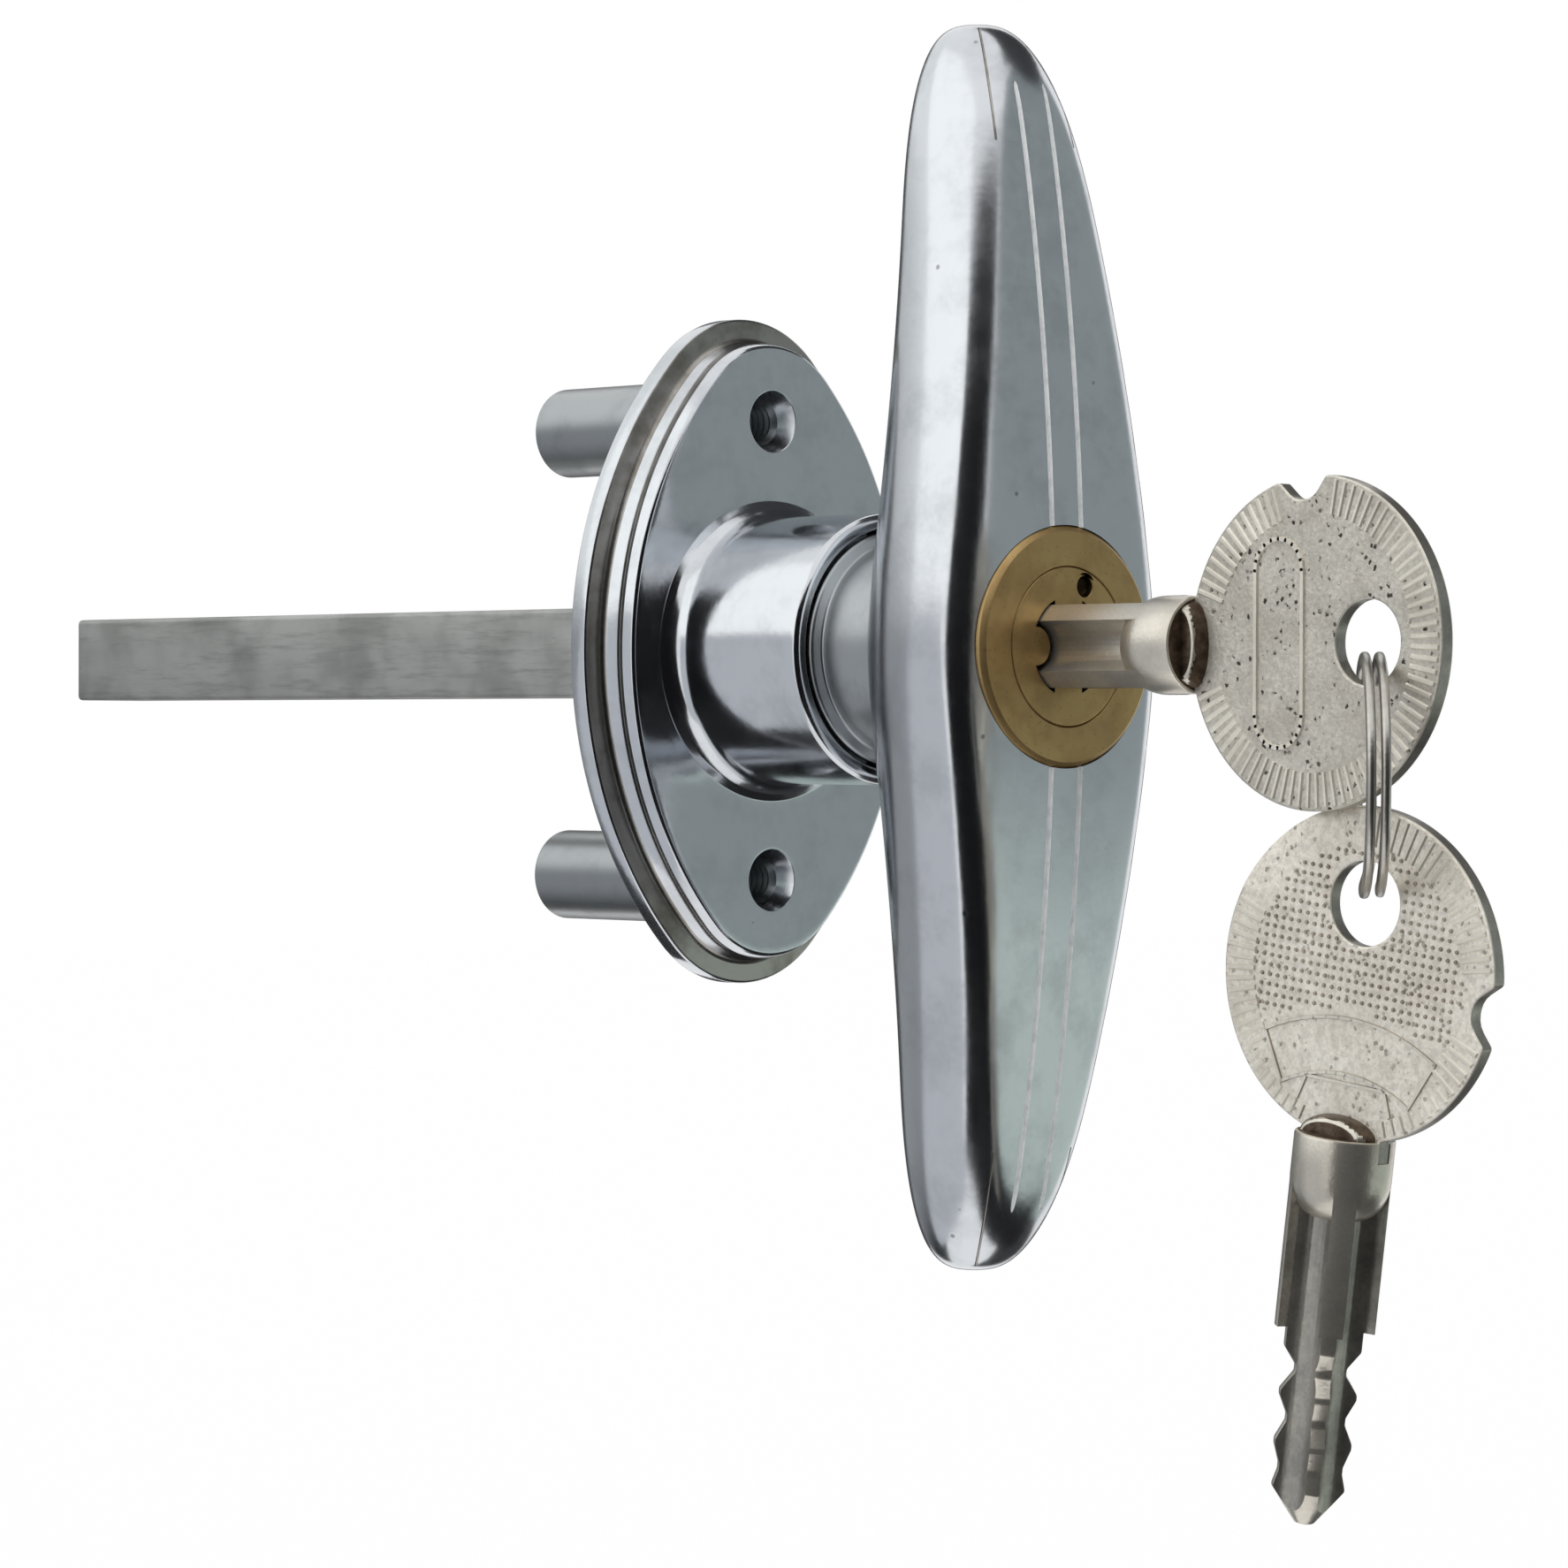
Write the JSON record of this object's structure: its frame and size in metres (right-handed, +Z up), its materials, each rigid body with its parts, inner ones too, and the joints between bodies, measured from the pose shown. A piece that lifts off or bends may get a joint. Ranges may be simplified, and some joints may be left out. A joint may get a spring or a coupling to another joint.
{
  "type": "garage door T handle lock",
  "caption": "T handle lock for a garage door: oval escutcheon, turning lens shaped grip with a cross key cylinder, square spindle, and keys on a split ring.",
  "frame": {"origin": "on the spindle axis, in the plane of the escutcheon's rear face that lies on the door", "axes": "+Z up along the upright grip, +Y into the door along the spindle, +X to the right seen from outside"},
  "size_m": [0.0374, 0.1784, 0.1223],
  "materials": {
    "chromed_zinc": "bright chrome on die cast zinc",
    "plated_steel": "matt zinc plate",
    "steel": "plain",
    "brass": "satin",
    "nickel": "dull nickel plate"
  },
  "bodies": {
    "base": {"base_plate": "chromed_zinc"},
    "handle": {"t_handle": "chromed_zinc", "spindle": "plated_steel", "spindle_pin": "steel", "stop_washer": "steel", "retaining_ring": "steel", "lock_barrel": "brass", "barrel_pin": "steel", "driver_pins": "brass", "pin_springs": "steel"},
    "plug": {"lock_plug": "brass", "key_pins": "brass", "plug_clip": "steel", "drive_cam": "steel"},
    "bolt": {"locking_bolt": "steel"},
    "key": {"key_blade": "nickel", "key_bow": "nickel"},
    "ring": {"split_ring": "nickel"},
    "spare_key": {"spare_key_blade": "nickel", "spare_key_bow": "nickel"}
  },
  "joints": [
    {"name": "handle_turn", "type": "hinge", "parent": "base", "child": "handle", "pos_m": [0, 0, 0], "axis": [0, 1, 0], "range_deg": [-90, 90]},
    {"name": "plug_turn", "type": "hinge", "parent": "handle", "child": "plug", "pos_m": [0, 0, 0], "axis": [0, 1, 0], "range_deg": [0, 90]},
    {"name": "bolt_slide", "type": "slide", "parent": "handle", "child": "bolt", "axis": [1, 0, 0], "range_m": [0, 0.00242]},
    {"name": "key_pull", "type": "slide", "parent": "plug", "child": "key", "axis": [0, -1, 0], "range_m": [0, 0.018]},
    {"name": "ring_swing", "type": "hinge", "parent": "key", "child": "ring", "pos_m": [0, -0.07555, 0], "axis": [1, 0, 0], "range_deg": [-15, 15]},
    {"name": "spare_swing", "type": "hinge", "parent": "ring", "child": "spare_key", "pos_m": [0.002, -0.07355, -0.0205], "axis": [0.9973, 0.0726, 0.0099], "range_deg": [-15, 15]}
  ],
  "couplings": [
    {"joint": "bolt_slide", "follows": "plug_turn", "m_per_rad": 0.0015305}
  ]
}
